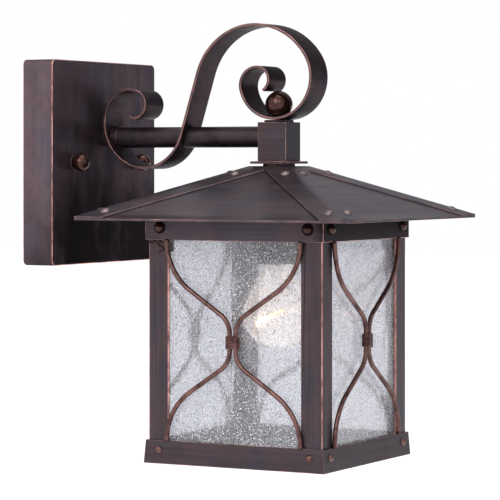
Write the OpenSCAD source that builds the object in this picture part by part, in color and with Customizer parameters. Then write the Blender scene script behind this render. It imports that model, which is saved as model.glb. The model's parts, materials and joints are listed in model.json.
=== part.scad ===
// Outdoor wall lantern: back plate, straight arm, scroll strip and a hanging square lantern.
// Frame: the wall is the plane y = 0, the lantern stands out towards -Y, +Z is up and the
// origin is the centre of the box strap that is screwed to the wall box.

/* [Back plate] */
// Width of the back plate along X
plate_w = 140; // [130:1:150]
// Height of the back plate along Z
plate_h = 142; // [130:1:150]
// Depth of the back plate, from the wall to its front face
plate_d = 24; // [22:0.5:27]
// Distance between the two ball cap nuts
nut_spacing = 84; // [80:1:100]
// Radius of each ball cap nut
nut_ball_r = 6.1; // [5:0.1:7]

/* [Arm and scroll] */
// Distance from the wall to the lantern's centre line
reach = 162.5; // [160:0.5:164]
// Height of the arm's centre line above the back plate's centre
arm_z = 17.5; // [16:0.5:19]
// Outer radius of the arm tube
arm_r = 7.25; // [6.5:0.25:7.5]
// Width of the scroll strip along X
strip_w = 25.4; // [20:0.2:30]
// Thickness of the scroll strip
strip_t = 1.8; // [1.5:0.1:2]

/* [Hub] */
// Side of the square hub block
hub_side = 21.8; // [21:0.1:24]
// Height of the hub's top above the back plate's centre
hub_top = 27.5; // [27.3:0.1:27.6]
// Radius of the ball finial
finial_r = 9.4; // [8:0.1:9.5]

/* [Roof] */
// Side of the square roof at its eaves
roof_side = 203.2; // [200:0.1:215]
// Pitch of the roof faces in degrees
roof_pitch = 21.2; // [20.8:0.1:21.6]
// Reach of each hip strap along the eaves from the hip
strap_reach = 21; // [16:0.5:26]

/* [Cage] */
// Side of the square cage, over the posts
cage_side = 130; // [128:0.5:132]
// Height of the cage's bottom edge
cage_bottom = -202; // [-206:0.5:-200]
// Height of the top rail's lower edge
top_rail_low = -52; // [-54:0.5:-50]
// Height of the bottom rail
bottom_rail_h = 15.7; // [14:0.1:17]
// Width of each leg of the angle posts
post_leg = 15.5; // [14:0.5:17]

/* [Glass and side wires] */
// Thickness of a glass pane
pane_t = 3; // [2.5:0.1:3]
// Radius of the bowed side wires
wire_r = 1.6; // [1.2:0.1:1.6]

/* [Lamp] */
// Radius of the bulb's round end
bulb_r = 24; // [23:0.5:25]
// Height of the bulb's lowest point
bulb_low = -128; // [-130:0.5:-127]
// Radius of the socket body
socket_r = 19; // [18:0.5:21]

/* [Hidden] */
$fn = 96;
eps = 0.05;                 // small clearance between pieces that only just touch
fit = 0.1;                  // clearance of a hole round a threaded tube
over = 1;                   // how far a cutting shape runs past the face that it cuts
deep_z = -300;              // a height well below the cage
hole_len = 20;              // length of a drill for the cage's fasteners
bore_end = 0.5;             // room in a blind bore past the end of its stud
bend_step = 5;              // degrees of a bend in one flat of the strip or one length of wire
sheet_t = 1.4;              // back plate sheet
inner_w = plate_w - 2 * sheet_t;
plate_corner = 4;
strap_bar_w = 16;           // width of the box strap and of the stud bar
strap_bar_t = 2;
box_strap_len = 112;
box_slot_spacing = 80;
box_slot_len = 16;
box_slot_r = 2.4;
strap_corner = 3;
stud_bar_len = 104;
stud_r = 2.5;
stud_head_r = 4.5;
stud_start = 0.3;           // the stud heads lie just clear of the wall
stud_end = plate_d + 9;     // distance of the stud's end from the wall
stud_nut_af = 8;
stud_nut_t = 3.5;
ground_screw_z = 21;
ground_screw_r = 2;
ground_head_r = 4;
ground_head_t = 2.2;
washer_t = 1;
nut_washer_r = 5.4;
nut_neck_r = 4.3;
nut_ball_y = plate_d + 5.8; // distance of the ball's centre from the wall

thread_r = 5;               // outer radius of the hollow nipples
thread_bore = 3.6;
nipple_back = 14;           // wall end of the arm nipple
nipple_front = 50;          // its end inside the arm tube
lock_washer_r = 9.5;
hex_af = 14;
hex_t = 3.5;

volute_mid = 60;            // a distance from the wall that lies well inside the volute
collar_end = 37.5;
collar_wall = 0.9;
spacer_r = 6.2;
strip_start = [164.5, hub_top + 2.4, 0];      // reach, height and heading of the strip at the hub
outer_curl = [[28, 123], [46, 130], [0, 45], [31.5, -182], [19, -95], [9.5, -171]];
inner_curl = [[26, -76], [12.5, -113], [8.5, -141]];
volute_index = 3;           // the outer curl's arc that goes round the arm's wall end
volute_r = outer_curl[volute_index][0];
inner_poses = path_poses([strip_start[0], strip_start[1], 180], inner_curl);

seat_r = 10;
hub_wall = 2;
hub_low = 0.9;
arm_end = reach - hub_side / 2 + hub_wall;    // the arm ends flush with the hub's inner wall
flange_side = 29.5;
flange_t = 1.8;
neck_r = 11;
finial_stud_r = 3;
finial_z = hub_top + 12;    // height of the finial ball's centre
finial_ring_low = hub_top + 4.1;
finial_ring_top = hub_top + 5.9;
ring_low_r = 3.6;
ring_top_r = 7.8;
stem_washer_r = 11.5;

slope = tan(roof_pitch);
strap_t = 1.2;
roof_t = 1.25;
strap_apex = 3.5;           // height where the strap faces would meet
sheet_apex = strap_apex - strap_t / cos(roof_pitch);
inner_apex = sheet_apex - roof_t / cos(roof_pitch);
roof_half = roof_side / 2;
crown_half = 15;            // half side of the flat crown that the neck stands on
crown_z = sheet_apex - crown_half * slope;
rivet_inset = 9;            // distance of a strap rivet from the hip, along the eave
rivet_rows = [28, 92];      // distances of the rivets from the centre line
strap_rivet_r = 3.5;
strap_rivet_h = 1.8;
rivet_head_r = 2.7;          // heads of the bottom rail's rivets
rivet_head_h = 1.7;
rivet_shank_r = 1.4;
rivet_tail = 0.4;           // how far a rivet's shank comes through
rivet_hole_len = 8;

rail_t = 1.8;
rail_side = cage_side + 2 * rail_t;
top_rail_top = inner_apex - slope * rail_side / 2 - 0.3;
rail_flare = 3.9;           // tilt of the bottom rail faces, in degrees
flare_t = 1.5;
flare_top = rail_side / 2 - 0.2;              // the flared faces' distance from the centre line at their top
lip_half = 57;              // half side of the opening in the bottom rail's inner lip
lip_t = 1.5;
lip_reach = cage_side / 2 + 1.4;              // the lip runs out into the flared faces
post_t = 1.6;
screw_x = 55.5;
screw_z = -43.5;
screw_head_r = 3.4;
screw_head_h = 3.2;
screw_shank_r = 1.9;
low_rivet_x = 56.5;
low_rivet_z = cage_bottom + 9.5;
low_rivet_seat = flare_top + (cage_bottom + bottom_rail_h - low_rivet_z) * tan(rail_flare) + eps;

pane_face = cage_side / 2 - post_t - fit;     // outer face of a pane, from the centre line
pane_low = cage_bottom + lip_t;
pane_top = -48;
clip_leg = 12;
clip_t = 1.6;
clip_low = -60;
clip_top = -37;

wire_mid = (cage_bottom + bottom_rail_h + top_rail_low) / 2;
wire_half_gap = wire_r + 0.7; // half distance between the wires at the waist
wire_plane = cage_side / 2 + wire_r + eps;
wire_bend = 56;             // angle between a wire's slanted stretch and the vertical
waist_bend_r = 15;
shoulder_bend_r = 40;
wire_slant = 28.4;
wire_sides = 8;
bends_rise = (waist_bend_r + shoulder_bend_r) * sin(wire_bend);
waist_len = top_rail_low - wire_mid - bends_rise - wire_slant * cos(wire_bend);
wire_rise = [[0, waist_len], [waist_bend_r, -wire_bend], [0, wire_slant], [shoulder_bend_r, wire_bend]];
wire_upper = path_poses([wire_half_gap, 0, 90], wire_rise);
wire_lower = [for (i = [len(wire_upper) - 1 : -1 : 1])
    [wire_upper[i][0], -wire_upper[i][1], 180 - wire_upper[i][2]]];
wrap_t = 1.3;
wrap_h = 10;

socket_top = -28;
socket_low = -69;
cap_top = -22;
cap_r = 12;
stem_low = socket_top + 3;
shell_r = 13.4;             // inner radius of the socket's screw shell
shell_t = 0.7;
shell_top = -38;
wire_bore = 15;             // depth of the bore down which the leads reach the socket's terminals
base_r = 13.1;
base_low = -66;
base_wall = 0.5;
base_top = -46;
contact_r = 4.5;
contact_h = 2.6;
bulb_neck_r = 12.2;
bulb_neck_z = -72;
bulb_wall = 0.8;
bulb_glass_top = base_low + 3;
stem_foot_r = 9;
stem_neck_r = 3;
stem_rod_r = 2.6;
bulb_z = bulb_low + bulb_r;
filament_z = -103;
filament_r = 11;
filament_wire_r = 0.6;
filament_half = 70;         // half the angle of the filament's arc about the centre line
stem_end = filament_z + 8;
support_r = 0.4;
support_rise = 10;
small_fn = 24;
lead_r = 1.1;
lead_gap = 1.3;
lead_bend = 6;
lead_wall_end = 8;
lead_low = socket_top - 6;

bronze = [0.30, 0.25, 0.27];
worn_copper = [0.49, 0.33, 0.31];
dark_gloss = [0.24, 0.14, 0.12];
zinc = [0.70, 0.71, 0.72];
brass = [0.78, 0.62, 0.30];
clear_glass = [0.86, 0.90, 0.92, 0.4];

// ---------- helpers ----------

// Turn a Z axis towards the room, so that a height along Z becomes a distance from the wall
module from_wall(x = 0, z = 0) {
    translate([x, 0, z]) rotate([90, 0, 0]) children();
}

// Move to the lantern's centre line
module at_lantern() {
    translate([0, -reach, 0]) children();
}

// Side number i of the lantern: 0 is the front, then right, back and left
module on_side(i) {
    at_lantern() rotate([0, 0, 90 * i]) children();
}

// Draw in the plane of reach and height, with thickness along X
module side_plane() {
    rotate([90, 0, -90]) children();
}

module tube(r_out, r_in, low, high) {
    difference() {
        translate([0, 0, low]) cylinder(r = r_out, h = high - low);
        translate([0, 0, low - over]) cylinder(r = r_in, h = high - low + 2 * over);
    }
}

module square_ring(side, wall, low, high) {
    translate([-side / 2, -side / 2, low]) difference() {
        cube([side, side, high - low]);
        translate([wall, wall, -over]) cube([side - 2 * wall, side - 2 * wall, high - low + 2 * over]);
    }
}

module hex_nut(across_flats, r_in, low, high) {
    difference() {
        translate([0, 0, low]) cylinder(r = across_flats / 2 / cos(30), h = high - low, $fn = 6);
        translate([0, 0, low - over]) cylinder(r = r_in, h = high - low + 2 * over);
    }
}

// Dome head on the plane z = 0, with a shank below it
module dome_fastener(head_r, head_h, shank_r, shank_len) {
    ball_r = (head_r * head_r + head_h * head_h) / (2 * head_h);
    intersection() {
        translate([0, 0, head_h - ball_r]) sphere(r = ball_r);
        cylinder(r = head_r + over, h = head_h + over);
    }
    translate([0, 0, -shank_len]) cylinder(r = shank_r, h = shank_len + eps);
}

// A path is a list of [radius, angle] bends, where a radius of 0 is a straight of that length.
// A pose on it is [x, y, heading].
function step_pose(p, bend) =
    bend[0] == 0
        ? [p[0] + bend[1] * cos(p[2]), p[1] + bend[1] * sin(p[2]), p[2]]
        : let (k = sign(bend[1]), c = bend_centre(p, bend), h = p[2] + bend[1])
            [c[0] + k * bend[0] * sin(h), c[1] - k * bend[0] * cos(h), h];
function bend_centre(p, bend) =
    [p[0] - sign(bend[1]) * bend[0] * sin(p[2]), p[1] + sign(bend[1]) * bend[0] * cos(p[2])];
function pose_at(p, path, n) = n == 0 ? p : step_pose(pose_at(p, path, n - 1), path[n - 1]);

// Poses along a path, with one for every few degrees of its bends
function bend_poses(p, bend, count) =
    [for (k = [0 : count - 1]) step_pose(p, [bend[0], bend[1] * k / count])];
function path_poses(p, path, i = 0) =
    i == len(path)
        ? [p]
        : concat(bend_poses(p, path[i], path[i][0] == 0 ? 1 : ceil(abs(path[i][1]) / bend_step)),
            path_poses(step_pose(p, path[i]), path, i + 1));
function beside(p, d) = [p[0] - d * sin(p[2]), p[1] + d * cos(p[2])];

// Flat outline of even width along a list of poses
module ribbon(poses, width) {
    last = len(poses) - 1;
    polygon(concat(
        [for (p = poses) beside(p, width / 2)],
        [for (i = [last : -1 : 0]) beside(poses[i], -width / 2)]
    ));
}

// Round wire along a list of poses
module round_wire(poses, r, sides) {
    last = len(poses) - 1;
    points = [for (p = poses) for (k = [0 : sides - 1])
        let (a = 360 * k / sides, b = beside(p, r * cos(a))) [b[0], b[1], r * sin(a)]];
    walls = [for (i = [0 : last - 1]) for (k = [0 : sides - 1])
        let (a = i * sides + k, b = i * sides + (k + 1) % sides)
            each [[a, a + sides, b + sides], [a, b + sides, b]]];
    first_cap = [for (k = [0 : sides - 1]) k];
    last_cap = [for (k = [sides - 1 : -1 : 0]) last * sides + k];
    polyhedron(points, concat([first_cap, last_cap], walls));
}

// ---------- wall fixing ----------

module rounded_plate(w, h, r, t) {
    linear_extrude(t) {
        square([w - 2 * r, h], center = true);
        square([w, h - 2 * r], center = true);
        for (x = [-1, 1]) for (y = [-1, 1]) translate([x * (w / 2 - r), y * (h / 2 - r)]) circle(r = r);
    }
}

module back_plate() color(bronze) from_wall() difference() {
    rounded_plate(plate_w, plate_h, plate_corner, plate_d);
    translate([0, 0, -over])
        rounded_plate(inner_w, plate_h - 2 * sheet_t, plate_corner - sheet_t, plate_d - sheet_t + over);
    translate([0, arm_z, 0]) cylinder(r = thread_r + 2 * fit, h = plate_d + over);
    for (x = [-1, 1]) translate([x * nut_spacing / 2, 0, 0])
        cylinder(r = stud_r + 5 * fit, h = plate_d + over);
}

module box_strap() color(zinc) from_wall() difference() {
    rounded_plate(strap_bar_w, box_strap_len, strap_corner, strap_bar_t);
    for (z = [-1, 1]) translate([0, z * box_slot_spacing / 2, -over]) {
        for (e = [-1, 1]) translate([0, e * (box_slot_len / 2 - box_slot_r), 0])
            cylinder(r = box_slot_r, h = strap_bar_t + 2 * over);
        translate([-box_slot_r, -box_slot_len / 2 + box_slot_r, 0])
            cube([2 * box_slot_r, box_slot_len - 2 * box_slot_r, strap_bar_t + 2 * over]);
    }
    translate([0, ground_screw_z, -over]) cylinder(r = ground_screw_r + eps, h = strap_bar_t + 2 * over);
}

module stud_bar() color(zinc) from_wall() difference() {
    translate([0, 0, strap_bar_t]) rounded_plate(stud_bar_len, strap_bar_w, strap_corner, strap_bar_t);
    for (x = [-1, 1]) translate([x * nut_spacing / 2, 0, 0]) cylinder(r = stud_r + eps, h = 3 * strap_bar_t);
}

module studs() color(zinc) for (x = [-1, 1]) from_wall(x * nut_spacing / 2) translate([0, 0, stud_start]) {
    cylinder(r = stud_head_r, h = strap_bar_t - stud_start);
    cylinder(r = stud_r, h = stud_end - stud_start);
}

module stud_lock_nuts() color(zinc) for (x = [-1, 1]) from_wall(x * nut_spacing / 2)
    hex_nut(stud_nut_af, stud_r + eps, 2 * strap_bar_t, 2 * strap_bar_t + stud_nut_t);

module ground_screw() color([0.10, 0.45, 0.20]) from_wall(0, ground_screw_z) {
    cylinder(r = ground_screw_r, h = strap_bar_t + eps);
    translate([0, 0, strap_bar_t]) cylinder(r = ground_head_r, h = ground_head_t);
}

// Ball cap nut: a ball on a short neck, flat and bored from behind for the stud
module ball_nut(x) color(dark_gloss) from_wall(x) difference() {
    union() {
        translate([0, 0, nut_ball_y]) sphere(r = nut_ball_r);
        translate([0, 0, plate_d + washer_t]) cylinder(r = nut_neck_r, h = nut_ball_y - plate_d - washer_t);
    }
    translate([0, 0, plate_d + washer_t - nut_ball_r]) cylinder(r = 2 * nut_ball_r, h = nut_ball_r);
    cylinder(r = stud_r + eps, h = stud_end + bore_end);
}

module nut_washer(x) color(bronze) from_wall(x)
    tube(nut_washer_r, stud_r + 3 * fit, plate_d, plate_d + washer_t);

module ball_nut_left() ball_nut(-nut_spacing / 2);
module ball_nut_right() ball_nut(nut_spacing / 2);
module nut_washer_left() nut_washer(-nut_spacing / 2);
module nut_washer_right() nut_washer(nut_spacing / 2);

// ---------- arm and scroll ----------

// Round bar about the volute's own centre, for shaping what meets the strip
module volute_bar(r) {
    c = bend_centre(pose_at(strip_start, outer_curl, volute_index), outer_curl[volute_index]);
    side_plane() translate([c[0], c[1], 0]) cylinder(r = r, h = 3 * strip_w, center = true);
}

// The arm starts inside the volute, with its end shaped to the strip
module arm_tube() color(bronze) difference() {
    from_wall(0, arm_z) tube(arm_r, thread_r + fit, plate_d, arm_end);
    difference() {
        from_wall(0, arm_z) cylinder(r = 2 * arm_r, h = volute_mid);
        volute_bar(volute_r - strip_t / 2 - eps);
    }
}

module arm_collar() color(bronze) intersection() {
    from_wall(0, arm_z) tube(arm_r + collar_wall, arm_r + eps, plate_d, collar_end);
    volute_bar(volute_r - strip_t / 2 - eps);
}

module arm_spacer() color(bronze) difference() {
    from_wall(0, arm_z) tube(spacer_r, thread_r + fit, plate_d, volute_mid);
    volute_bar(volute_r + strip_t / 2 + eps);
}

module arm_nipple() color(brass) from_wall(0, arm_z) tube(thread_r, thread_bore, nipple_back, nipple_front);

module arm_lock_washer() color(zinc) from_wall(0, arm_z)
    tube(lock_washer_r, thread_r + eps, plate_d - sheet_t - washer_t, plate_d - sheet_t);

module arm_lock_nut() color(zinc) from_wall(0, arm_z)
    hex_nut(hex_af, thread_r + eps, plate_d - sheet_t - washer_t - hex_t, plate_d - sheet_t - washer_t);

module scroll_strip() color(bronze) difference() {
    side_plane() linear_extrude(strip_w, center = true) ribbon(concat(
        [for (i = [len(inner_poses) - 1 : -1 : 1]) inner_poses[i] + [0, 0, 180]],
        path_poses(strip_start, outer_curl)
    ), strip_t);
    from_wall(0, arm_z) cylinder(r = thread_r + 2 * fit, h = volute_mid);
    from_wall(0, arm_z) translate([0, 0, volute_mid]) cylinder(r = arm_r + 2 * fit, h = volute_mid);
    at_lantern() translate([0, 0, hub_top]) cylinder(r = finial_stud_r + 2 * fit, h = 3 * strip_t);
}

// ---------- hub ----------

module scroll_seat() color(bronze) at_lantern()
    tube(seat_r, finial_stud_r + fit, hub_top, strip_start[1] - strip_t / 2 - eps);

module hub_block() color(bronze) difference() {
    at_lantern() difference() {
        translate([-hub_side / 2, -hub_side / 2, hub_low]) cube([hub_side, hub_side, hub_top - hub_low]);
        translate([hub_wall - hub_side / 2, hub_wall - hub_side / 2, hub_low + hub_wall])
            cube([hub_side - 2 * hub_wall, hub_side - 2 * hub_wall, hub_top - hub_low - 2 * hub_wall]);
        cylinder(r = thread_r + eps, h = hub_low + hub_wall + over);
        translate([0, 0, hub_top - hub_wall - over])
            cylinder(r = finial_stud_r + eps, h = hub_wall + 2 * over);
    }
    from_wall(0, arm_z) cylinder(r = arm_r + eps, h = reach);
}

module finial_stud() color(zinc) at_lantern()
    translate([0, 0, hub_top - hub_wall]) cylinder(r = finial_stud_r, h = finial_z - hub_top + hub_wall);

// Ball finial, bored from below for its stud, with a short foot that stands in the ring
module finial_ball() color(dark_gloss) at_lantern() difference() {
    translate([0, 0, finial_z]) sphere(r = finial_r);
    translate([0, 0, hub_top]) cylinder(r = finial_stud_r + eps, h = finial_z - hub_top + bore_end);
    translate([0, 0, hub_top]) cylinder(r = finial_r, h = finial_ring_top - hub_top);
}

module finial_ring() color(dark_gloss) at_lantern() difference() {
    translate([0, 0, finial_ring_low])
        cylinder(r1 = ring_low_r, r2 = ring_top_r, h = finial_ring_top - finial_ring_low);
    translate([0, 0, hub_top]) cylinder(r = finial_stud_r + fit, h = finial_r);
}

module hub_flange() color(bronze) at_lantern() difference() {
    translate([-flange_side / 2, -flange_side / 2, hub_low - flange_t])
        cube([flange_side, flange_side, flange_t]);
    translate([0, 0, -2 * flange_t]) cylinder(r = thread_r + fit, h = 4 * flange_t);
}

module roof_neck() color(bronze) at_lantern() tube(neck_r, thread_r + fit, crown_z, hub_low - flange_t);

module stem_nipple() color(brass) at_lantern() tube(thread_r, thread_bore, stem_low, hub_low + hub_wall);

module stem_washer() color(zinc) at_lantern()
    tube(stem_washer_r, thread_r + eps, crown_z - roof_t - washer_t, crown_z - roof_t);

module stem_lock_nut() color(zinc) at_lantern()
    hex_nut(hex_af, thread_r + eps, crown_z - roof_t - washer_t - hex_t, crown_z - roof_t - washer_t);

// ---------- roof ----------

// Square pyramid with its top at the given height, on a square block that reaches below the cage
module pyramid(apex) {
    half = roof_half + over;
    eave = apex - slope * half;
    intersection_for(turn = [0, 90]) rotate([0, 0, turn]) rotate([90, 0, 0])
        linear_extrude(3 * roof_half, center = true)
            polygon([[0, apex], [half, eave], [half, deep_z], [-half, deep_z], [-half, eave]]);
}

// Places for the rivets on every roof face, with Z along the face's normal
module at_rivets() {
    for (i = [0 : 3]) on_side(i) for (d = rivet_rows) for (s = [-1, 1])
        translate([s * (d - rivet_inset), -d, strap_apex - slope * d]) rotate([roof_pitch, 0, 0]) children();
}

module rivet_holes() {
    at_rivets() cylinder(r = rivet_shank_r + eps, h = rivet_hole_len, center = true);
}

module roof_shell() color(bronze) difference() {
    at_lantern() difference() {
        intersection() {
            pyramid(sheet_apex);
            translate([-roof_half, -roof_half, deep_z]) cube([roof_side, roof_side, crown_z - deep_z]);
        }
        intersection() {
            pyramid(inner_apex);
            translate([-roof_side, -roof_side, deep_z])
                cube([2 * roof_side, 2 * roof_side, crown_z - roof_t - deep_z]);
        }
        translate([0, 0, crown_z - 2 * roof_t]) cylinder(r = thread_r + 2 * fit, h = 4 * roof_t);
    }
    rivet_holes();
}

// Bent strap over one hip: both wings lie on the sheet and reach strap_reach along the eave
module hip_strap(i) color(bronze) difference() {
    on_side(i) intersection() {
        difference() {
            pyramid(strap_apex);
            pyramid(sheet_apex);
        }
        translate([eps, -roof_half, deep_z]) cube([roof_half, roof_half - eps, -deep_z]);
        rotate([0, 0, -45]) translate([0, -strap_reach / sqrt(2), deep_z])
            cube([2 * roof_side, strap_reach * sqrt(2), -deep_z]);
        square_ring(2 * roof_side, roof_side - crown_half, deep_z, 0);
    }
    rivet_holes();
}

module hip_strap_1() hip_strap(0);
module hip_strap_2() hip_strap(1);
module hip_strap_3() hip_strap(2);
module hip_strap_4() hip_strap(3);

module strap_rivets() color(worn_copper) at_rivets()
    dome_fastener(strap_rivet_r, strap_rivet_h, rivet_shank_r, strap_t + roof_t + rivet_tail);

// ---------- cage ----------

// Places for the fasteners on every side of the cage, with Z pointing out of the face
module at_corners(x, face, z) {
    for (i = [0 : 3]) on_side(i) for (s = [-1, 1])
        translate([s * x, -face, z]) rotate([90, 0, 0]) children();
}

module screw_holes() {
    at_corners(screw_x, rail_side / 2, screw_z)
        cylinder(r = screw_shank_r + eps, h = hole_len, center = true);
}

// Places on the bottom rail's flared faces, with Z along their normal
module at_low_rivets() {
    at_corners(low_rivet_x, low_rivet_seat, low_rivet_z) rotate([-rail_flare, 0, 0]) children();
}

module low_rivet_holes() {
    at_low_rivets() cylinder(r = rivet_shank_r + eps, h = rivet_hole_len, center = true);
}

module top_rail() color(bronze) difference() {
    at_lantern() square_ring(rail_side, rail_t - eps, top_rail_low, top_rail_top);
    screw_holes();
}

module top_rail_screws() color(dark_gloss) at_corners(screw_x, rail_side / 2, screw_z)
    dome_fastener(screw_head_r, screw_head_h, screw_shank_r, rail_side / 2 - pane_face + pane_t + clip_t);

// Angle post in the corner to the right of side number i, cut off under the roof
module post(i) color(bronze) difference() {
    on_side(i) intersection() {
        difference() {
            translate([cage_side / 2 - post_leg, -cage_side / 2, pane_low])
                cube([post_leg, post_leg, -pane_low]);
            translate([cage_side / 2 - post_leg - over, post_t - cage_side / 2, pane_low - over])
                cube([post_leg + over - post_t, post_leg, 2 * over - pane_low]);
        }
        pyramid(inner_apex - eps);
    }
    screw_holes();
    low_rivet_holes();
}

module post_1() post(0);
module post_2() post(1);
module post_3() post(2);
module post_4() post(3);

// One flared face of the bottom rail, mitred at both ends
module flared_face() {
    intersection() {
        translate([0, -flare_top, cage_bottom + bottom_rail_h]) rotate([-rail_flare, 0, 0])
            translate([-cage_side, 0, -bottom_rail_h - over])
                cube([2 * cage_side, flare_t, bottom_rail_h + over]);
        translate([0, 0, cage_bottom]) linear_extrude(bottom_rail_h)
            polygon([[0, 0], [-cage_side, -cage_side], [cage_side, -cage_side]]);
    }
}

module bottom_rail() color(bronze) difference() {
    union() {
        for (i = [0 : 3]) on_side(i) flared_face();
        at_lantern() square_ring(2 * lip_reach, lip_reach - lip_half, cage_bottom, pane_low - eps);
    }
    low_rivet_holes();
}

module bottom_rail_rivets() color(worn_copper) at_low_rivets()
    dome_fastener(rivet_head_r, rivet_head_h, rivet_shank_r, low_rivet_seat - cage_side / 2 + post_t);

// ---------- glass ----------

module pane(i, half_w) color(clear_glass) on_side(i)
    translate([-half_w, -pane_face, pane_low]) cube([2 * half_w, pane_t, pane_top - pane_low]);

module glass_front() pane(0, pane_face - pane_t - fit);
module glass_right() pane(1, pane_face);
module glass_back() pane(2, pane_face - pane_t - fit);
module glass_left() pane(3, pane_face);

// Angle clips inside the four corners, held by the top rail's screws
module glass_clips() color(zinc) difference() {
    for (i = [0 : 3]) on_side(i) {
        clip_face = pane_face - pane_t - fit;
        translate([clip_face - clip_leg, -clip_face, clip_low]) difference() {
            cube([clip_leg, clip_leg, clip_top - clip_low]);
            translate([-over, clip_t, -over])
                cube([clip_leg + over - clip_t, clip_leg, clip_top - clip_low + 2 * over]);
        }
    }
    screw_holes();
}

// ---------- side wires ----------

// Two wires in the plane of width and height: they bow in to the waist and out again to the rails
module side_wires(i) color(worn_copper) on_side(i) translate([0, -wire_plane, wire_mid]) rotate([90, 0, 0])
    for (x = [0, 1]) mirror([x, 0, 0]) round_wire(concat(wire_lower, wire_upper), wire_r, wire_sides);

module side_wires_front() side_wires(0);
module side_wires_right() side_wires(1);
module side_wires_back() side_wires(2);
module side_wires_left() side_wires(3);

module long_round(half_gap, r) {
    square([2 * half_gap, 2 * r], center = true);
    for (x = [-1, 1]) translate([x * half_gap, 0]) circle(r = r);
}

module wire_wraps() color(worn_copper) for (i = [0 : 3]) on_side(i)
    translate([0, -wire_plane, wire_mid - wrap_h / 2]) linear_extrude(wrap_h) difference() {
        long_round(wire_half_gap, wire_r + eps + wrap_t);
        long_round(wire_half_gap, wire_r + eps);
    }

// ---------- lamp ----------

module socket_cap() color(zinc) at_lantern() difference() {
    translate([0, 0, socket_top]) cylinder(r1 = socket_r, r2 = cap_r, h = cap_top - socket_top);
    translate([0, 0, socket_top - over]) cylinder(r = thread_r + eps, h = cap_top - socket_top + 2 * over);
}

module socket_body() color([0.13, 0.12, 0.12]) at_lantern() difference() {
    translate([0, 0, socket_low]) cylinder(r = socket_r, h = socket_top - socket_low);
    translate([0, 0, socket_low - over])
        cylinder(r = shell_r + shell_t + eps, h = shell_top - socket_low + over);
    translate([0, 0, socket_top - wire_bore]) cylinder(r = thread_r + eps, h = wire_bore + over);
}

module screw_shell() color(brass) at_lantern() tube(shell_r + shell_t, shell_r, socket_low + 2, shell_top);

module bulb_base() color([0.80, 0.80, 0.82]) at_lantern() difference() {
    translate([0, 0, base_low]) cylinder(r = base_r, h = base_top - base_low);
    translate([0, 0, base_low - over]) cylinder(r = base_r - base_wall, h = base_top - base_low);
}

module bulb_contact() color(brass) at_lantern() translate([0, 0, base_top + eps])
    cylinder(r = contact_r, h = contact_h);

// Outline of the bulb's glass, as radius and height, grown inwards by inset
module bulb_outline(inset) {
    r = bulb_r - inset;
    neck = [bulb_neck_r - inset, bulb_neck_z];
    dist = sqrt(neck[0] * neck[0] + (neck[1] - bulb_z) * (neck[1] - bulb_z));
    touch = atan2(neck[1] - bulb_z, neck[0]) - acos(r / dist);
    top = bulb_glass_top - inset;
    intersection() {
        union() {
            translate([0, bulb_z]) circle(r = r);
            polygon([[0, bulb_z], [r * cos(touch), bulb_z + r * sin(touch)], neck, [neck[0], top], [0, top]]);
        }
        translate([0, bulb_low - over]) square([bulb_r + over, top - bulb_low + 2 * over]);
    }
}

module bulb_glass() color(clear_glass) at_lantern() rotate_extrude() difference() {
    bulb_outline(0);
    bulb_outline(bulb_wall);
}

module bulb_stem() color(clear_glass) at_lantern() {
    translate([0, 0, bulb_neck_z])
        cylinder(r1 = stem_neck_r, r2 = stem_foot_r, h = base_low + over - bulb_neck_z);
    translate([0, 0, stem_end]) cylinder(r = stem_rod_r, h = bulb_neck_z - stem_end + eps);
}

// Filament held in an arc by two lead-in wires and a centre support
module bulb_filament() color([0.95, 0.75, 0.40]) at_lantern() {
    translate([0, 0, filament_z]) rotate([0, 0, 90 - filament_half]) rotate_extrude(angle = 2 * filament_half)
        translate([filament_r, 0]) circle(r = filament_wire_r, $fn = small_fn);
    for (a = [-filament_half + 2, 0, filament_half - 2]) rotate([0, 0, 90 + a]) {
        translate([filament_r, 0, filament_z]) cylinder(r = support_r, h = support_rise, $fn = small_fn);
        translate([stem_rod_r + fit, 0, filament_z + support_rise]) rotate([0, 90, 0])
            cylinder(r = support_r, h = filament_r - stem_rod_r - fit + support_r, $fn = small_fn);
    }
}

// ---------- wiring ----------

// Two leads from the wall box along the arm, round the corner in the hub and down to the socket
module lead_wires() color([0.15, 0.15, 0.16]) for (x = [-lead_gap, lead_gap]) {
    corner = reach - lead_bend;
    translate([x, 0, 0]) from_wall(0, arm_z) translate([0, 0, lead_wall_end])
        cylinder(r = lead_r, h = corner - lead_wall_end);
    translate([x, -corner, arm_z - lead_bend]) rotate([90, 0, -90]) rotate_extrude(angle = 90)
        translate([lead_bend, 0]) circle(r = lead_r);
    at_lantern() translate([x, 0, lead_low]) cylinder(r = lead_r, h = arm_z - lead_bend - lead_low);
}

// ---------- assembly ----------

back_plate();
box_strap();
stud_bar();
studs();
stud_lock_nuts();
ground_screw();
ball_nut_left();
ball_nut_right();
nut_washer_left();
nut_washer_right();
arm_tube();
arm_collar();
arm_spacer();
arm_nipple();
arm_lock_nut();
arm_lock_washer();
scroll_strip();
scroll_seat();
hub_block();
hub_flange();
roof_neck();
finial_ball();
finial_ring();
finial_stud();
stem_nipple();
stem_lock_nut();
stem_washer();
roof_shell();
hip_strap_1();
hip_strap_2();
hip_strap_3();
hip_strap_4();
strap_rivets();
top_rail();
top_rail_screws();
post_1();
post_2();
post_3();
post_4();
bottom_rail();
bottom_rail_rivets();
glass_front();
glass_right();
glass_back();
glass_left();
glass_clips();
side_wires_front();
side_wires_right();
side_wires_back();
side_wires_left();
wire_wraps();
socket_cap();
socket_body();
screw_shell();
bulb_base();
bulb_contact();
bulb_glass();
bulb_stem();
bulb_filament();
lead_wires();
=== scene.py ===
"""Looks of the outdoor wall lantern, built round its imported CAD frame.

The frame is the CAD part's: the wall is the plane y = 0, the lantern stands out towards -Y and +Z is up.
Lengths are in mm, and MM turns them into metres where a mesh is made; material nodes work in metres.
"""

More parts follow.
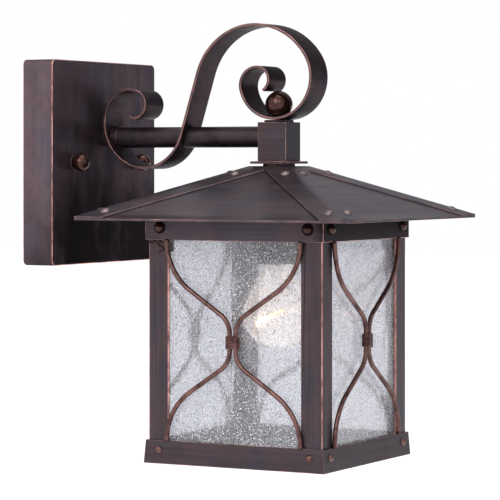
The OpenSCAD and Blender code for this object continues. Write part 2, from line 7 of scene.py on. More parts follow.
import json
import math
import random

import bmesh
import bpy
from mathutils import Matrix, Vector, noise


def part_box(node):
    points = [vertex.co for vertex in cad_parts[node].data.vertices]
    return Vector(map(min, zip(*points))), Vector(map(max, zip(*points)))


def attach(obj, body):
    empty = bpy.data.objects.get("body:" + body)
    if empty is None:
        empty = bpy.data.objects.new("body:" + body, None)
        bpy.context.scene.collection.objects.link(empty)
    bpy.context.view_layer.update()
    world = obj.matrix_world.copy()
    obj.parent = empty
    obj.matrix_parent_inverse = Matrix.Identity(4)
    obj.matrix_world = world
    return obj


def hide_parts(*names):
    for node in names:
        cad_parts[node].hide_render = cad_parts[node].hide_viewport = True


MM = 0.001
TAU = 2 * math.pi
UP = Vector((0, 0, 1))
SMOOTH_ANGLE = math.radians(38)
BEVEL_ANGLE = math.radians(33)
FLAT_ANGLE = math.radians(0.4)

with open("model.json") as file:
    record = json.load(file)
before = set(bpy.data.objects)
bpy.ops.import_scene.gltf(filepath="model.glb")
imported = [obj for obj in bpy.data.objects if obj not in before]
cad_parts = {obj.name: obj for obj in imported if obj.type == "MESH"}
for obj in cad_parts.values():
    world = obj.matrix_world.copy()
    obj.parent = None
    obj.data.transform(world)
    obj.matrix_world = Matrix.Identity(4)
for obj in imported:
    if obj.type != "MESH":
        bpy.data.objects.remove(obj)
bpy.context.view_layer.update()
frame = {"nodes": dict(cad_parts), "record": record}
nodes = frame["nodes"]
node_body = {n: body for body, members in frame["record"]["behaviour"]["bodies"].items() for n in members}


# ---------- places, from the CAD frame ----------


def box_mm(node):
    """Lowest and highest corner of a CAD node, in mm."""
    low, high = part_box(node)
    return low / MM, high / MM


def middle_mm(node):
    low, high = box_mm(node)
    return (low + high) / 2


CENTRE = middle_mm("roof_shell")
CENTRE.z = 0
REACH = -CENTRE.y
SIDES = ("front", "right", "back", "left")


def side_turn(i):
    """Turn that brings the front face of the lantern to side i of SIDES."""
    return Matrix.Rotation(i * TAU / 4, 3, "Z")


# ---------- material nodes ----------


def add(tree, kind, inputs=None, **settings):
    """A shader node with its settings; an input is a value, or the socket that feeds it."""
    made = tree.nodes.new("ShaderNode" + kind)
    for key, value in settings.items():
        setattr(made, key, value)
    for key, value in (inputs or {}).items():
        if isinstance(value, bpy.types.NodeSocket):
            tree.links.new(value, made.inputs[key])
        else:
            made.inputs[key].default_value = value
    return made


def object_space(tree, scale=(1, 1, 1)):
    place = add(tree, "TexCoord").outputs["Object"]
    return add(tree, "Mapping", {"Vector": place, "Scale": scale}).outputs["Vector"]


def noise_of(tree, vector, scale, detail=2.0, roughness=0.5):
    return add(
        tree,
        "TexNoise",
        {"Vector": vector, "Scale": scale, "Detail": detail, "Roughness": roughness},
    ).outputs["Fac"]


def ramp(tree, factor, stops):
    """Colour ramp; a stop is (position, grey value or colour)."""
    made = add(tree, "ValToRGB", {"Fac": factor})
    elements = made.color_ramp.elements
    while len(elements) < len(stops):
        elements.new(0.5)
    for element, (position, colour) in zip(elements, stops):
        element.position = position
        colour = (colour,) * 3 if isinstance(colour, (int, float)) else colour
        element.color = (*colour, 1)
    return made.outputs["Color"]


def blend_colours(tree, factor, a, b, mode="MIX"):
    made = tree.nodes.new("ShaderNodeMix")
    made.data_type = "RGBA"
    made.blend_type = mode
    for index, value in ((0, factor), (6, a), (7, b)):
        if isinstance(value, bpy.types.NodeSocket):
            tree.links.new(value, made.inputs[index])
        else:
            made.inputs[index].default_value = value if index == 0 else (*value, 1)
    return made.outputs[2]


def bump(tree, height, distance, strength=1.0, normal=None):
    inputs = {"Height": height, "Distance": distance, "Strength": strength}
    if normal is not None:
        inputs["Normal"] = normal
    return add(tree, "Bump", inputs).outputs["Normal"]


def material(name, build, **shader):
    """A Principled material; build(tree) returns the linked inputs, shader holds the plain ones."""
    made = bpy.data.materials.new(name)
    made.use_nodes = True
    tree = made.node_tree
    principled = tree.nodes["Principled BSDF"]
    for key, value in shader.items():
        principled.inputs[key.replace("_", " ")].default_value = value
    for key, socket in (build(tree) if build else {}).items():
        tree.links.new(socket, principled.inputs[key])
    return made


# ---------- the lantern's materials ----------

BLUE_BRONZE = (0.064, 0.056, 0.068)
BROWN_BRONZE = (0.086, 0.060, 0.064)
DARK_BRONZE = (0.018, 0.012, 0.013)
SHADE_TONE = (0.006, 0.004, 0.005)
RUBBED = (0.20, 0.110, 0.10)
SCRATCH_DEPTH = 0.00005
ALONG, ACROSS = 14.0, 900.0  # how closely the brushed streaks are packed along and across the brushing


def bronze(name, grain, tone_and_light_gain=1.0, blotches=0.25, painted_shade=None, streaks=0.11, rim=1.0):
    """Burnished bronze: brushed streaks along the small number of grain, with cloudy tone changes.

    Its gain brightens or darkens this copy, partly for the part's own tone and partly as painted light and
    shade for how brightly that part is lit;
    blotches and streaks say how strong those are, a shade function, when given, gives the share of near-black
    painted shade from place to place, and a rim below 1 dulls glancing views.
    """

    def build(tree):
        fine = noise_of(tree, object_space(tree, grain), 1.0, 3.0, 0.6)
        scratches = noise_of(tree, object_space(tree, tuple(3 * g for g in grain)), 1.0, 1.0)
        broad = noise_of(tree, object_space(tree, tuple(0.30 * g for g in grain)), 1.0, 2.0, 0.55)
        clouds = noise_of(tree, object_space(tree), 19.0, 3.0, 0.6)
        smudges = noise_of(tree, object_space(tree), 43.0, 3.0, 0.6)
        tone = ramp(tree, clouds, [(0.34, BLUE_BRONZE), (0.50, BROWN_BRONZE), (0.64, BLUE_BRONZE)])
        bands = ramp(tree, broad, [(0.32, 1 - streaks), (0.68, 1 + streaks)])
        lines = ramp(tree, fine, [(0.30, 1 - 1.6 * streaks), (0.72, 1 + 1.3 * streaks)])
        # The gain: partly the part's own tone, partly painted light and shade.
        for share in (bands, lines, (tone_and_light_gain, tone_and_light_gain, tone_and_light_gain)):
            tone = blend_colours(tree, 1.0, tone, share, "MULTIPLY")
        tone = blend_colours(tree, ramp(tree, smudges, [(0.46, 0.0), (0.72, blotches)]), tone, DARK_BRONZE)
        # Near-black painted shade, laid where the given mask asks for it.
        if painted_shade:
            tone = blend_colours(tree, painted_shade(tree), tone, SHADE_TONE)
        gloss = ramp(tree, broad, [(0.25, 0.32), (0.75, 0.50)])
        normal = bump(tree, scratches, SCRATCH_DEPTH, 0.4)
        return {"Base Color": tone, "Roughness": gloss, "Normal": normal}

    return material(name, build, Metallic=0.88, Specular_Tint=(rim, rim, rim, 1))


def span_of(tree, value, start, stop, low, high):
    """A number that runs from low to high while value runs from start to stop."""
    return add(tree, "MapRange", {"Value": value, 1: start, 2: stop, 3: low, 4: high}).outputs[0]


def maths(tree, operation, a, b):
    return add(tree, "Math", {0: a, 1: b}, operation=operation).outputs[0]


def place_of(tree):
    """Where a point is on its piece; the outputs are X, Y and Z."""
    return add(tree, "SeparateXYZ", {"Vector": add(tree, "TexCoord").outputs["Object"]}).outputs


def plate_painted_shade(tree):
    """Painted shade: near-black that thickens towards the foot of the back plate, for the shadow and dark
    reflection of the roof there; its left side and upper right, where the light falls, stay clear.
    """
    place = place_of(tree)
    cloud = noise_of(tree, object_space(tree, (30, 30, 13)), 1.0, 4.0, 0.65)
    lower = span_of(tree, place["Z"], 0.045, -0.045, -0.16, 0.46)
    side = span_of(tree, place["X"], -0.046, -0.070, 0.0, -0.32)
    right = span_of(tree, place["X"], 0.010, 0.058, 0.0, -0.50)
    upper = span_of(tree, place["Z"], -0.035, 0.012, 0.0, 1.0)
    total = cloud
    for share in (lower, side, maths(tree, "MULTIPLY", right, upper)):
        total = maths(tree, "ADD", total, share)
    return ramp(tree, total, [(0.34, 0.0), (0.58, 0.24), (0.90, 0.95)])


def eave_painted_shadow(tree):
    """Painted shadow of the eave on the top rail, thickest on the side away from the wall."""
    place = place_of(tree)
    high = span_of(tree, place["Z"], -0.060, -0.040, 0.30, 1.0)
    outer = span_of(tree, place["Y"], -0.220, -0.228, 0.10, 0.95)
    return maths(tree, "MULTIPLY", high, outer)


def rubbed_bronze(name, low, high, scale=160.0, roughness=0.34, share=(0.32, 0.66)):
    """Bronze that is rubbed through to copper, more in some places than in others."""

    def build(tree):
        wear = noise_of(tree, object_space(tree), scale, 3.0, 0.6)
        scratches = noise_of(tree, object_space(tree), 2600.0, 2.0)
        tone = ramp(tree, wear, [(share[0], low), (share[1], high)])
        return {"Base Color": tone, "Normal": bump(tree, scratches, SCRATCH_DEPTH, 0.3)}

    return material(name, build, Metallic=0.9, Roughness=roughness)


def gloss_brown(tree):
    """Oiled brown of the turned balls, smooth enough to show the lamps of the studio."""
    clouds = noise_of(tree, object_space(tree), 210.0, 3.0, 0.6)
    smears = noise_of(tree, object_space(tree), 900.0, 2.0)
    dark, middle, light = (0.042, 0.019, 0.016), (0.062, 0.028, 0.022), (0.086, 0.041, 0.034)
    tone = ramp(tree, clouds, [(0.30, dark), (0.52, middle), (0.74, light)])
    return {"Base Color": tone, "Roughness": ramp(tree, smears, [(0.3, 0.15), (0.7, 0.20)])}


def plated(low, high, grain):
    """Bright plating whose streaks run along the small number of grain."""

    def build(tree):
        streaks = noise_of(tree, object_space(tree, grain), 1.0, 3.0)
        tone = ramp(tree, streaks, [(0.3, low), (0.7, high)])
        return {"Base Color": tone, "Roughness": ramp(tree, streaks, [(0.3, 0.28), (0.7, 0.45)])}

    return build


def specks(tree, scale, size, inside, outside):
    """Small round spots, each with its own place and size."""
    cells = add(tree, "TexVoronoi", {"Vector": object_space(tree), "Scale": scale}, feature="F1")
    return ramp(tree, cells.outputs["Distance"], [(size, inside), (1.25 * size, outside)])


def seeded(tree):
    """Seeded glass: fine bubbles that scatter the light, bright or dark, and ripples drawn down the pane."""
    drawn = noise_of(tree, object_space(tree, (300, 300, 22)), 1.0, 2.0, 0.5)
    waves = noise_of(tree, object_space(tree, (60, 60, 22)), 1.0, 2.0, 0.5)
    frost = noise_of(tree, object_space(tree), 1500.0, 2.0, 0.6)
    normal = bump(tree, waves, 0.0006, 0.5)
    normal = bump(tree, drawn, 0.00011, 0.7, normal)
    normal = bump(tree, specks(tree, 480.0, 0.10, 1.0, 0.0), 0.00018, 0.8, normal)
    normal = bump(tree, specks(tree, 1150.0, 0.18, 1.0, 0.0), 0.00010, 0.8, normal)
    return {
        "Base Color": specks(tree, 660.0, 0.20, 0.27, (0.86, 0.868, 0.905)),
        "Transmission Weight": specks(tree, 560.0, 0.20, 0.10, 0.935),
        "Normal": normal,
        "Roughness": ramp(tree, frost, [(0.50, 0.02), (0.66, 0.36)]),
    }


def lamp_glass(tree):
    """Blown glass, a little uneven."""
    return {"Normal": bump(tree, noise_of(tree, object_space(tree), 35.0, 1.0), 0.0004, 0.3)}


def moulded(low, high):
    """Moulded plastic with fine pores."""

    def build(tree):
        pores = noise_of(tree, object_space(tree), 1400.0, 3.0, 0.6)
        clouds = noise_of(tree, object_space(tree), 60.0, 2.0)
        tone = ramp(tree, clouds, [(0.3, low), (0.7, high)])
        return {"Base Color": tone, "Normal": bump(tree, pores, SCRATCH_DEPTH, 0.5)}

    return build


def white_hot(tree):
    """The lower length of the filament burns white; the rest only glows."""
    up = span_of(tree, place_of(tree)["Z"], -0.1115, -0.0995, 0.0, 1.0)
    orange, white, red = (0.7, 0.3, 0.1), (1.0, 0.60, 0.28), (0.0060, 0.0020, 0.0005)
    return {"Emission Color": ramp(tree, up, [(0.0, orange), (0.08, white), (0.40, white), (0.60, red)])}


UPRIGHT_GRAIN = (ACROSS, ACROSS, ALONG)
LEVEL_GRAIN = (ALONG, ALONG, ACROSS)
PLATE_GRAIN = (0.6 * ACROSS, 0.6 * ACROSS, ALONG)
ARM_GRAIN = (ACROSS, 2 * ALONG, ACROSS)
STRIP_GRAIN = (8 * ALONG, 420.0, 420.0)

# The gains give each copy its brightness, partly its own tone and partly painted light and shade for how
# brightly that part is lit; the plate and top rail also get near-black painted shade.
BRONZE_UPRIGHT = bronze("bronze_upright", UPRIGHT_GRAIN, 0.86)
BRONZE_PLATE = bronze(
    "bronze_plate", PLATE_GRAIN, tone_and_light_gain=1.48, blotches=0.30, painted_shade=plate_painted_shade, streaks=0.06, rim=0.5
)
BRONZE_LEVEL = bronze("bronze_level", LEVEL_GRAIN, 0.81)
BRONZE_RAIL = bronze("bronze_rail", LEVEL_GRAIN, tone_and_light_gain=1.12, painted_shade=eave_painted_shadow, rim=0.6)
BRONZE_ROOF = bronze("bronze_roof", LEVEL_GRAIN, tone_and_light_gain=1.22, blotches=0.15, streaks=0.08)
BRONZE_ARM = bronze("bronze_arm", ARM_GRAIN, tone_and_light_gain=0.62, blotches=0.9)
BRONZE_STRIP = bronze("bronze_strip", STRIP_GRAIN, tone_and_light_gain=0.72, blotches=0.4, streaks=0.14, rim=0.5)
EDGE = rubbed_bronze("edge_copper", (0.13, 0.078, 0.076), (0.56, 0.29, 0.25), 110.0, share=(0.40, 0.70))
BRIGHT_EDGE = rubbed_bronze("edge_bright", (0.24, 0.115, 0.10), (0.74, 0.38, 0.32), 90.0, share=(0.34, 0.62))
EAVE_EDGE = rubbed_bronze("edge_eave", (0.10, 0.070, 0.070), (0.40, 0.25, 0.23), 60.0, share=(0.42, 0.72))
DULL_EDGE = rubbed_bronze("edge_bronze", BROWN_BRONZE, RUBBED, scale=90.0)
# Near-black material for the painted shadow lines along the straps and the painted shade rings round the
# screws.
SHADOW_LINE = rubbed_bronze("shadow_line_black", (0.004, 0.003, 0.003), (0.012, 0.009, 0.009), roughness=0.7)
WIRE = rubbed_bronze("wire_copper", (0.066, 0.035, 0.032), (0.21, 0.108, 0.094), scale=120.0, roughness=0.28)
RIVET = rubbed_bronze("rivet_bronze", (0.10, 0.082, 0.086), (0.24, 0.18, 0.175), scale=260.0, roughness=0.42)
WELD = rubbed_bronze("weld", DARK_BRONZE, (0.09, 0.05, 0.045), scale=700.0, roughness=0.42)
GLOSS = material("gloss_brown", gloss_brown, Metallic=0.82)
ZINC = material("zinc", plated((0.40, 0.41, 0.42), (0.62, 0.63, 0.64), (300, 300, 60)), Metallic=1.0)
BRASS = material("brass", plated((0.50, 0.34, 0.13), (0.72, 0.52, 0.24), (300, 300, 60)), Metallic=1.0)
BASE_METAL = material(
    "base_metal", plated((0.62, 0.62, 0.63), (0.80, 0.80, 0.81), (200, 200, 60)), Metallic=1.0
)
GREEN = material("green_steel", plated((0.02, 0.12, 0.04), (0.04, 0.24, 0.08), (300, 300, 300)), Metallic=0.5)
SEEDED_GLASS = material("seeded_glass", seeded, IOR=1.46)
BUBBLE = material("bubble_wall", lamp_glass, Roughness=0.0, IOR=1.46, Transmission_Weight=1.0)
# Its faint warm emission is painted glow, standing in for the filament's light in the glass; the glass stem
# wears it too.
GLOWING_LAMP_GLASS = material(
    "lamp_glass",
    lamp_glass,
    Base_Color=(0.98, 0.98, 0.98, 1),
    Roughness=0.0,
    IOR=1.45,
    Transmission_Weight=0.96,
    Emission_Color=(1.0, 0.94, 0.88, 1),
    Emission_Strength=0.08,
)
BLACK_PLASTIC = material("phenolic", moulded((0.012, 0.012, 0.012), (0.03, 0.028, 0.027)), Roughness=0.45)
INSULATION = material("insulation", moulded((0.010, 0.010, 0.011), (0.022, 0.022, 0.024)), Roughness=0.5)
FILAMENT = material("filament", white_hot, Emission_Strength=900.0)


# ---------- making pieces ----------


def mesh_of(name, work):
    """The finished mesh of a bmesh, which is let go."""
    mesh = bpy.data.meshes.new(name)
    work.to_mesh(mesh)
    work.free()
    return mesh


def piece(name, mesh, materials, node):
    """A new smooth-shaded object that rides on a CAD node's body and wears the given materials."""
    made = bpy.data.objects.new(name, mesh)
    bpy.context.scene.collection.objects.link(made)
    for wanted in materials:
        mesh.materials.append(wanted)
    for face in mesh.polygons:
        face.use_smooth = True
    mesh.set_sharp_from_angle(angle=SMOOTH_ANGLE)
    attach(made, node_body[node])
    return made


def stand_in(node, how_made, mesh, materials):
    """A piece that takes the place of a CAD node."""
    made = piece(f"{node}-{how_made}", mesh, materials, node)
    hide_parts(node)
    return made


def bevel(made, width):
    """Rounds the sharp edges and gives the rounded faces the second material."""
    modifier = made.modifiers.new("rounded_edges", "BEVEL")
    modifier.width = width * MM
    modifier.segments = 2
    modifier.limit_method = "ANGLE"
    modifier.angle_limit = BEVEL_ANGLE
    modifier.material = 1
    modifier.harden_normals = True
    modifier.use_clamp_overlap = False


def cleaned_mesh(node):
    """A copy of a CAD node's mesh with its flat faces joined up again."""
    work = bmesh.new()
    work.from_mesh(nodes[node].data)
    bmesh.ops.remove_doubles(work, verts=work.verts, dist=2e-6)
    bmesh.ops.dissolve_limit(
        work, angle_limit=FLAT_ANGLE, use_dissolve_boundaries=False, verts=work.verts, edges=work.edges
    )
    mesh = mesh_of(node + "_finished", work)
    for attribute in ("custom_normal", "UVMap"):
        found = mesh.attributes.get(attribute)
        if found:
            mesh.attributes.remove(found)
    return mesh


def refined(node, face, edge=EDGE, width=0.4):
    """A CAD node's own shape with rounded and rubbed edges."""
    bevel(stand_in(node, "finished", cleaned_mesh(node), [face, edge]), width)


def mesh_from(name, rings, faces_material=None, closed_along=False):
    """Skin over rings of points that all have the same number of points, in mm.

    faces_material numbers the material of each face round a ring. Rings not closed along get two caps.
    """
    work = bmesh.new()
    made = [[work.verts.new(Vector(p) * MM) for p in ring] for ring in rings]
    count = len(rings[0])
    spans = len(rings) if closed_along else len(rings) - 1
    for i in range(spans):
        a, b = made[i], made[(i + 1) % len(rings)]
        for k in range(count):
            m = (k + 1) % count
            face = work.faces.new((a[k], a[m], b[m], b[k]))
            face.material_index = faces_material[k] if faces_material else 0
    if not closed_along:
        work.faces.new(list(reversed(made[0])))
        work.faces.new(made[-1])
    bmesh.ops.recalc_face_normals(work, faces=work.faces)
    return mesh_of(name, work)


def joined(name, meshes):
    """One mesh from several; material numbers are kept."""
    work = bmesh.new()
    for mesh in meshes:
        work.from_mesh(mesh)
        bpy.data.meshes.remove(mesh)
    return mesh_of(name, work)


def normals_along(points):
    """Normal and binormal at each point, turned as little as possible from one to the next."""
    result, normal = [], None
    for i, point in enumerate(points):
        before = points[i - 1] if i else point
        after = points[i + 1] if i < len(points) - 1 else point
        tangent = (after - before).normalized()
        if normal is None:
            normal = tangent.orthogonal().normalized()
        normal = (normal - tangent * normal.dot(tangent)).normalized()
        result.append((normal, tangent.cross(normal)))
    return result


def tube_mesh(name, points, r, sides):
    """Round wire along points."""
    rings = []
    for point, (normal, binormal) in zip(points, normals_along(points)):
        rings.append([
            point + normal * (r * math.cos(TAU * k / sides)) + binormal * (r * math.sin(TAU * k / sides))
            for k in range(sides)
        ])
    return mesh_from(name, rings)


def turned_point(centre, axis, r, turn, h):
    """Point at a radius, a turn in radians and a height h along the axis: up, or for Y out from the wall."""
    c, s = math.cos(turn), math.sin(turn)
    local = (r * c, r * s, h) if axis == "Z" else (r * c, -h, r * s)
    return Vector(centre) + Vector(local)


def lathe_mesh(name, outline, centre, axis="Z", segments=72):
    """Turned body from an outline of (radius, height) points; its ends close on the axis or on each other."""
    rings = [
        [turned_point(centre, axis, r, TAU * i / segments, h) for r, h in outline] for i in range(segments)
    ]
    mesh = mesh_from(name, rings, closed_along=True)
    work = bmesh.new()
    work.from_mesh(mesh)
    bmesh.ops.remove_doubles(work, verts=work.verts, dist=1e-7)
    bmesh.ops.dissolve_degenerate(work, edges=work.edges, dist=1e-8)
    bmesh.ops.recalc_face_normals(work, faces=work.faces)
    work.to_mesh(mesh)
    work.free()
    return mesh


def arc(cx, cy, r, start, stop, count):
    """Points on an arc, from one angle in degrees to another."""
    turns = [math.radians(start + (stop - start) * i / count) for i in range(count + 1)]
    return [(cx + r * math.cos(t), cy + r * math.sin(t)) for t in turns]


def thread_mesh(name, low, high, r_root, r_crest, pitch, centre, axis="Z", bore=0.0, segments=36, steps=6):
    """Rod with a right-handed thread that runs out over its first and last turn; a bore makes it a tube."""
    count = max(2, int((high - low) / pitch * steps))
    rings = []
    for j in range(count + 1):
        h = low + (high - low) * j / count
        fade = min(1, j / count * (high - low) / pitch, (count - j) / count * (high - low) / pitch)
        ring = []
        for i in range(segments):
            phase = (h / pitch - i / segments) % 1
            crest = 0.5 - 0.5 * math.cos(TAU * phase)
            r = r_root + (r_crest - r_root) * crest * fade
            ring.append(turned_point(centre, axis, r, TAU * i / segments, h))
        rings.append(ring)
    if bore:
        for h in (high, low):
            rings.append([turned_point(centre, axis, bore, TAU * i / segments, h) for i in range(segments)])
    return mesh_from(name, rings, closed_along=bool(bore))


# ---------- back plate, hub, roof and cage: the CAD shapes with rounded, rubbed edges ----------

refined("back_plate", BRONZE_PLATE, BRIGHT_EDGE, width=0.6)
for i in range(1, 5):
    refined(f"post_{i}", BRONZE_UPRIGHT, BRIGHT_EDGE, width=0.8)
    refined(f"hip_strap_{i}", BRONZE_ROOF, EAVE_EDGE, width=0.32)
refined("top_rail", BRONZE_RAIL, width=0.42)
for name in ("bottom_rail", "hub_block", "hub_flange", "roof_neck"):
    refined(name, BRONZE_LEVEL, width=0.42)
refined("scroll_seat", BRONZE_ARM, DULL_EDGE, width=0.3)
refined("roof_shell", BRONZE_ROOF, EAVE_EDGE, width=0.3)
refined("strap_rivets", RIVET, RIVET, width=0.2)
refined("bottom_rail_rivets", WIRE, WIRE, width=0.2)
refined("top_rail_screws", GLOSS, WELD, width=0.2)
for name in ("arm_tube", "arm_collar", "arm_spacer"):
    refined(name, BRONZE_ARM, DULL_EDGE, width=0.35)
for name in ("nut_washer_left", "nut_washer_right"):
    refined(name, BRONZE_ARM, DULL_EDGE, width=0.25)
for name in ("box_strap", "stud_bar", "stud_lock_nuts", "arm_lock_nut", "arm_lock_washer"):
    refined(name, ZINC, ZINC, width=0.25)
for name in ("stem_lock_nut", "stem_washer", "glass_clips"):
    refined(name, ZINC, ZINC, width=0.25)
refined("ground_screw", GREEN, GREEN, width=0.3)


# ---------- dark lines of painted shadow ---------

ROOF_SLOPE = math.tan(math.radians(21.2))
STRAP_APEX = 3.5  # height where the faces of the hip straps would meet
STRAP_THICK = 1.2
ROOF_APEX = STRAP_APEX - STRAP_THICK / math.cos(math.atan(ROOF_SLOPE))
ROOF_HALF = 101.6
STRAP_REACH = 21.0
SHADOW_LINE_WIDTH = 0.8
SHADOW_LINE_LIFT, SHADOW_LINE_SUNK = 0.03, -0.3  # the painted shadow line's top and bottom against the roof sheet


def strap_shadow_lines():
    """Dark line of painted shadow on the roof sheet along both edges of every hip strap, where the strap's
    edge casts its shade.
    """
    meshes = []
    for i in range(4):
        turn = side_turn(i)
        for mirror in (-1, 1):
            rings = []
            for d in (STRAP_REACH + 1, ROOF_HALF - 0.4):
                edge = d - STRAP_REACH
                z = ROOF_APEX - ROOF_SLOPE * d
                upper = [(edge, SHADOW_LINE_LIFT), (edge - SHADOW_LINE_WIDTH, SHADOW_LINE_LIFT)]
                lower = [(edge - SHADOW_LINE_WIDTH, SHADOW_LINE_SUNK), (edge, SHADOW_LINE_SUNK)]
                rings.append([CENTRE + turn @ Vector((mirror * x, -d, z + h)) for x, h in upper + lower])
            meshes.append(mesh_from("shadow_line", rings))
    piece("strap_shadow_lines", joined("strap_shadow_lines", meshes), [SHADOW_LINE], "roof_shell")


strap_shadow_lines()

SCREW_X, SCREW_Z = 55.5, -43.5
RAIL_FACE = 66.8  # from the lantern's centre line to the top rail's outer face


def screw_shade_rings():
    """Dark ring of painted shade round every top rail screw."""
    meshes = []
    outline = [(3.3, 0.02), (4.3, 0.02), (4.25, 0.25), (3.9, 0.5), (3.3, 0.55)]
    for i in range(4):
        about = Matrix.Translation(CENTRE * MM) @ side_turn(i).to_4x4() @ Matrix.Translation(-CENTRE * MM)
        for x in (-SCREW_X, SCREW_X):
            ring = [(r, REACH + RAIL_FACE + h) for r, h in outline]
            mesh = lathe_mesh("bed", ring, (x, 0, SCREW_Z), "Y", segments=32)
            mesh.transform(about)
            meshes.append(mesh)
    piece("screw_shade_rings", joined("screw_shade_rings", meshes), [SHADOW_LINE], "top_rail_screws")


screw_shade_rings()


# ---------- scroll strip ----------

STRIP_START = (164.5, 29.9, 0)
# Each bend of the strip's path is (radius, degrees); a radius of 0 is a straight of that many mm.
OUTER_CURL = [(28, 123), (46, 130), (0, 45), (31.5, -182), (19, -95), (9.5, -171)]
INNER_CURL = [(26, -76), (12.5, -113), (8.5, -141)]
STRIP_WIDTH = 25.4
STRIP_THICK = 1.8


def poses_along(pose, bends, step=2.0):
    """Positions and headings along a path of (radius, angle) bends; radius 0 is a straight of that length."""
    x, y, heading = pose
    poses = [(x, y, heading)]
    for radius, amount in bends:
        count = max(1, math.ceil(abs(amount) / step)) if radius else 12
        for _ in range(count):
            if radius:
                turn = math.radians(amount / count)
                side = 1 if amount > 0 else -1
                t = math.radians(heading)
                cx, cy = x - side * radius * math.sin(t), y + side * radius * math.cos(t)
                t += turn
                x, y = cx + side * radius * math.sin(t), cy - side * radius * math.cos(t)
                heading = math.degrees(t)
            else:
                t = math.radians(heading)
                x, y = x + amount / count * math.cos(t), y + amount / count * math.sin(t)
            poses.append((x, y, heading))
    return poses


def strip_section(half_width, half_thick, corner):
    """Outline across the strip, with a material number for each face: 0 broad, 1 rounded corner, 2 narrow."""
    points, numbers = [], []
    for sx, sy, start in ((1, -1, -90), (1, 1, 0), (-1, 1, 90), (-1, -1, 180)):
        points += arc(sx * (half_width - corner), sy * (half_thick - corner), corner, start, start + 90, 3)
        numbers += [1, 1, 1, 2 if sx != sy else 0]
    return points, numbers


def scroll_strip():
    inner = poses_along((STRIP_START[0], STRIP_START[1], 180), INNER_CURL)
    path = [(x, y, h + 180) for x, y, h in reversed(inner[1:])] + poses_along(STRIP_START, OUTER_CURL)
    section, numbers = strip_section(STRIP_WIDTH / 2 - 0.02, STRIP_THICK / 2 - 0.03, 0.26)
    rings = []
    for x, y, heading in path:
        t = math.radians(heading)
        rings.append([
            Vector((across, through * math.sin(t) - x, y + through * math.cos(t)))
            for across, through in section
        ])
    mesh = mesh_from("scroll_strip", rings, numbers)
    stand_in("scroll_strip", "bent", mesh, [BRONZE_STRIP, EDGE, DULL_EDGE])


scroll_strip()


# ---------- ball nuts, finial and threads ----------

NECK_R = 4.3
STUD_BORE_R = 2.55
FINIAL_BORE_R = 3.05
STUD_PITCH = 0.8
NIPPLE_PITCH = 1.0
NIPPLE_R, NIPPLE_BORE_R, FINIAL_STUD_R, THREAD_DEPTH = 5.0, 3.6, 3.0, 0.5


def ball_outline(r, centre, low, neck_r, bore_r, bore_top):
    """Ball on a short neck, bored from below; heights run along its axis."""
    meet = math.degrees(math.acos(min(1, neck_r / r)))
    chamfer, fillet = 0.3, 0.5
    points = [(0, bore_top), (bore_r, bore_top - 0.4), (bore_r, low)]
    points += [(neck_r - chamfer, low), (neck_r, low + chamfer)]
    points += [(neck_r, centre - r * math.sin(math.radians(meet)) - fillet)]
    points += arc(0, centre, r, -meet + 3, 90, 40)
    points[-1] = (0, centre + r)
    return points


def ball_nut(node):
    low, high = box_mm(node)
    r = (high.x - low.x) / 2
    x, z = (low.x + high.x) / 2, (low.z + high.z) / 2
    outline = ball_outline(r, -low.y - r, -high.y, NECK_R, STUD_BORE_R, -low.y - 4)
    stand_in(node, "turned", lathe_mesh(node, outline, (x, 0, z), "Y"), [GLOSS])


def finial():
    low, high = box_mm("finial_ball")
    r = (high.x - low.x) / 2
    centre = high.z - r
    foot = math.degrees(math.asin((centre - low.z) / r))
    outline = [(0, centre + 0.4), (FINIAL_BORE_R, centre), (FINIAL_BORE_R, low.z)]
    outline += arc(0, centre, r, -foot, 90, 60)
    outline[-1] = (0, high.z)
    stand_in("finial_ball", "turned", lathe_mesh("finial_ball", outline, CENTRE, segments=96), [GLOSS])
    low, high = box_mm("finial_ring")
    outline = [(3.1, low.z), (3.6, low.z), (4.6, low.z + 0.5), (5.4, low.z + 1.0), (6.9, high.z - 0.6)]
    outline += [(7.7, high.z - 0.35), (7.75, high.z - 0.1), (7.5, high.z), (3.1, high.z)]
    stand_in("finial_ring", "turned", lathe_mesh("finial_ring", outline, CENTRE, segments=96), [WIRE])


for name in ("ball_nut_left", "ball_nut_right"):
    ball_nut(name)
finial()


def studs():
    low, _ = box_mm("studs")
    meshes = []
    for side in ("left", "right"):
        x = middle_mm("ball_nut_" + side).x
        meshes.append(thread_mesh("stud", 2, -low.y, 2.1, 2.5, STUD_PITCH, (x, 0, 0), "Y"))
        head = [(0, 0.3), (4.2, 0.3), (4.5, 0.6), (4.5, 1.7), (4.2, 2.0), (0, 2.0)]
        meshes.append(lathe_mesh("stud_head", head, (x, 0, 0), "Y"))
    stand_in("studs", "threaded", joined("studs", meshes), [ZINC])


def threaded(node, wanted, axis, r, bore):
    """A threaded rod or nipple in the place of its CAD node."""
    low, high = box_mm(node)
    place = CENTRE if axis == "Z" else Vector((0, 0, (low.z + high.z) / 2))
    ends = (low.z, high.z) if axis == "Z" else (-high.y, -low.y)
    mesh = thread_mesh(node, *ends, r - THREAD_DEPTH, r, NIPPLE_PITCH, place, axis, bore)
    stand_in(node, "threaded", mesh, [wanted])


studs()
threaded("arm_nipple", BRASS, "Y", NIPPLE_R, NIPPLE_BORE_R)
threaded("stem_nipple", BRASS, "Z", NIPPLE_R, NIPPLE_BORE_R)
threaded("finial_stud", ZINC, "Z", FINIAL_STUD_R, 0)


# ---------- side wires, wraps and weld beads ----------

WIRE_R = 1.6
WIRE_GAP = 2.3  # half the distance between a side's two wires at the waist
WAIST_BEND, SHOULDER_BEND = 15, 40  # bend radii of a wire at its waist and near its ends
WIRE_ANGLE = 56
WIRE_SLANT = 28.4
WRAP_WIRE_R = 0.65
WRAP_TURNS = 7
WRAP_HEIGHT = 10
WELD_RUN_DEPTH = -65.4  # just proud of the post's outer face

